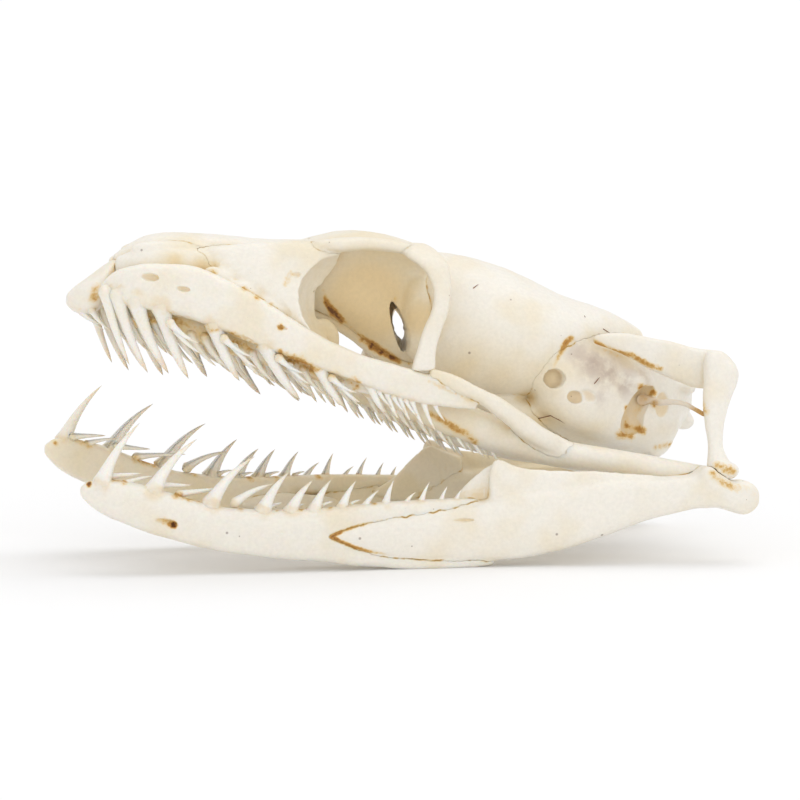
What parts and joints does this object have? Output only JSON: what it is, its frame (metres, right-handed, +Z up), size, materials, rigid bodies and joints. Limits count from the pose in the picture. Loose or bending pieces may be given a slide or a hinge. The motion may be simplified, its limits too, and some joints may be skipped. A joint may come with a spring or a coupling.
{
  "type": "python skull",
  "caption": "Prepared dry skull of a large python, jaws open and resting on its lower jaw, with backward-curved teeth on the jaws and palate.",
  "frame": {"origin": "centre of the bounding box's base, on the surface that the skull rests on", "axes": "+X towards the back of the head (snout at -X), +Y towards the animal's right, +Z up"},
  "size_m": [0.1316, 0.0632, 0.0633],
  "materials": {
    "bone": "dry ivory bone, satin, brown stains in the sutures",
    "tooth_bone": "dry ivory bone with smooth, slightly glossy white teeth",
    "ear_bone": "thin amber bone"
  },
  "bodies": {
    "root": {"premaxilla": "tooth_bone", "parietal": "bone", "braincase_rear": "bone", "basisphenoid": "bone", "nasal_left": "bone", "nasal_right": "bone", "septomaxilla_left": "bone", "septomaxilla_right": "bone", "vomer_left": "bone", "vomer_right": "bone", "prefrontal_left": "bone", "prefrontal_right": "bone", "frontal_left": "bone", "frontal_right": "bone", "supraorbital_left": "bone", "supraorbital_right": "bone", "postorbital_left": "bone", "postorbital_right": "bone", "supratemporal_left": "bone", "supratemporal_right": "bone", "quadrate_left": "bone", "quadrate_right": "bone", "stapes_left": "ear_bone", "stapes_right": "ear_bone", "maxilla_left": "tooth_bone", "maxilla_right": "tooth_bone", "palatine_left": "tooth_bone", "palatine_right": "tooth_bone", "ectopterygoid_left": "bone", "ectopterygoid_right": "bone", "pterygoid_left": "tooth_bone", "pterygoid_right": "tooth_bone", "dentary_left": "tooth_bone", "dentary_right": "tooth_bone", "splenial_left": "bone", "splenial_right": "bone", "coronoid_left": "bone", "coronoid_right": "bone", "compound_left": "bone", "compound_right": "bone"}
  },
  "joints": []
}
